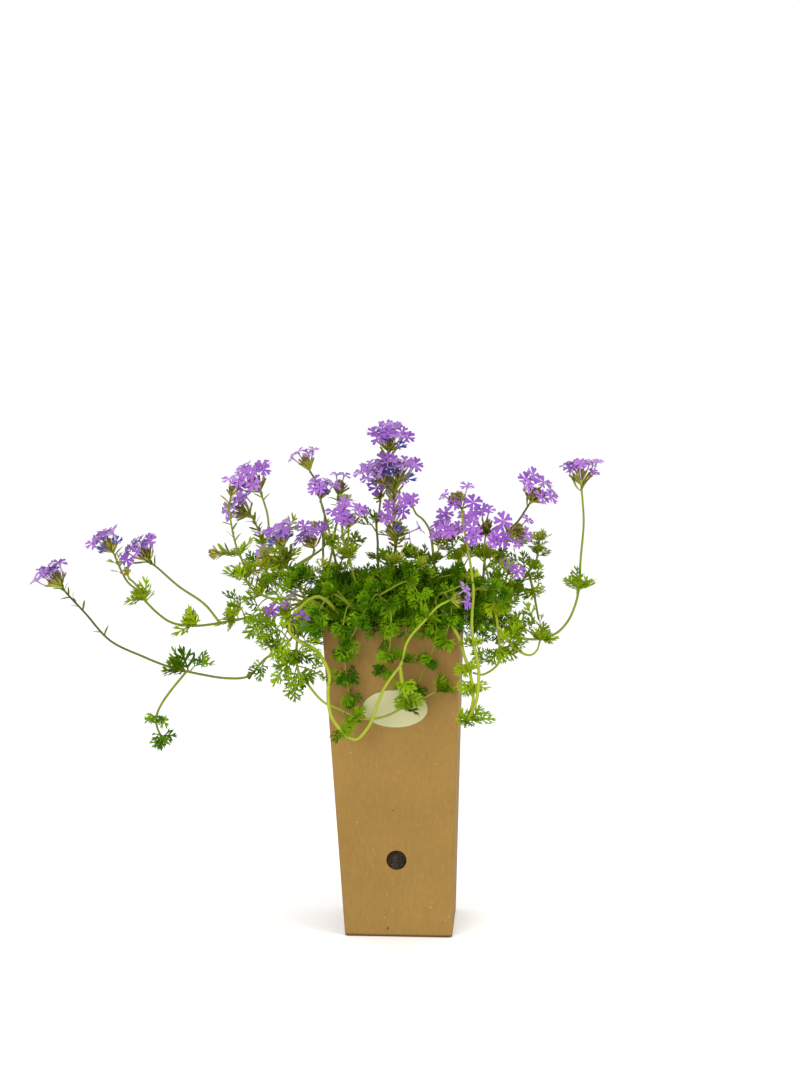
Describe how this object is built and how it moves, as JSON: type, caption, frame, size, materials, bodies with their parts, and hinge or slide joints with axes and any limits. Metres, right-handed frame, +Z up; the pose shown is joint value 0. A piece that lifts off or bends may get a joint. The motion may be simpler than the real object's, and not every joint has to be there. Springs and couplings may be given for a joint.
{
  "type": "potted verbena",
  "caption": "Cut-leaved verbena with violet flower heads on long spreading stems, in a tall tapered square pot of kraft board with a bare oval label.",
  "frame": {"origin": "middle of the pot's foot, on the surface it stands on", "axes": "+Z up; +X to the right and -Y towards the viewer, who faces the wall with the label and the round hole"},
  "size_m": [0.4237, 0.1803, 0.3782],
  "materials": {
    "card": "plain brown kraft board, matt, with fine fibre flecks",
    "raw_board": "raw fluted edge of corrugated board",
    "paper_label": "cream paper, slightly glossy, bare",
    "soil": "dark brown fibrous potting mix",
    "foliage": "satin green leaf and stem",
    "petals": "soft matt violet petal"
  },
  "bodies": {
    "root": {"pot_sleeve": "card", "pot_floor": "raw_board", "label": "paper_label", "soil": "soil", "spray_back": "foliage", "spray_back_left": "foliage", "spray_back_right": "foliage", "spray_front_left": "foliage", "spray_front_middle": "foliage", "spray_front_right": "foliage", "spray_top": "foliage", "stem_back_tall": "foliage", "stem_centre": "foliage", "stem_centre_left": "foliage", "stem_centre_right": "foliage", "stem_far_left": "foliage", "stem_far_right": "foliage", "stem_front_loop": "foliage", "stem_front_low": "foliage", "stem_left_cluster": "foliage", "stem_left_high": "foliage", "stem_left_leaning": "foliage", "stem_left_low": "foliage", "stem_left_small": "foliage", "stem_left_upright": "foliage", "stem_middle_front": "foliage", "stem_middle_pair": "foliage", "stem_right_cluster": "foliage", "stem_right_high": "foliage", "stem_right_leafy": "foliage", "stem_right_low": "foliage", "stem_right_ring": "foliage", "stem_right_trailing": "foliage", "bloom_back_tall": "petals", "bloom_centre_left": "petals", "bloom_centre_right": "petals", "bloom_cluster_left": "petals", "bloom_cluster_right": "petals", "bloom_fading": "petals", "bloom_far_left": "petals", "bloom_far_right": "petals", "bloom_front": "petals", "bloom_left_high": "petals", "bloom_left_inner": "petals", "bloom_left_leaning": "petals", "bloom_left_low": "petals", "bloom_left_small": "petals", "bloom_middle_dark": "petals", "bloom_middle_front": "petals", "bloom_middle_left": "petals", "bloom_pale": "petals", "bloom_right_cluster": "petals", "bloom_right_dark": "petals", "bloom_right_high": "petals", "bloom_right_ring": "petals", "bloom_right_side": "petals", "bloom_right_small": "petals", "bloom_top": "petals", "bloom_top_left": "petals", "bloom_top_right": "petals"}
  },
  "joints": []
}
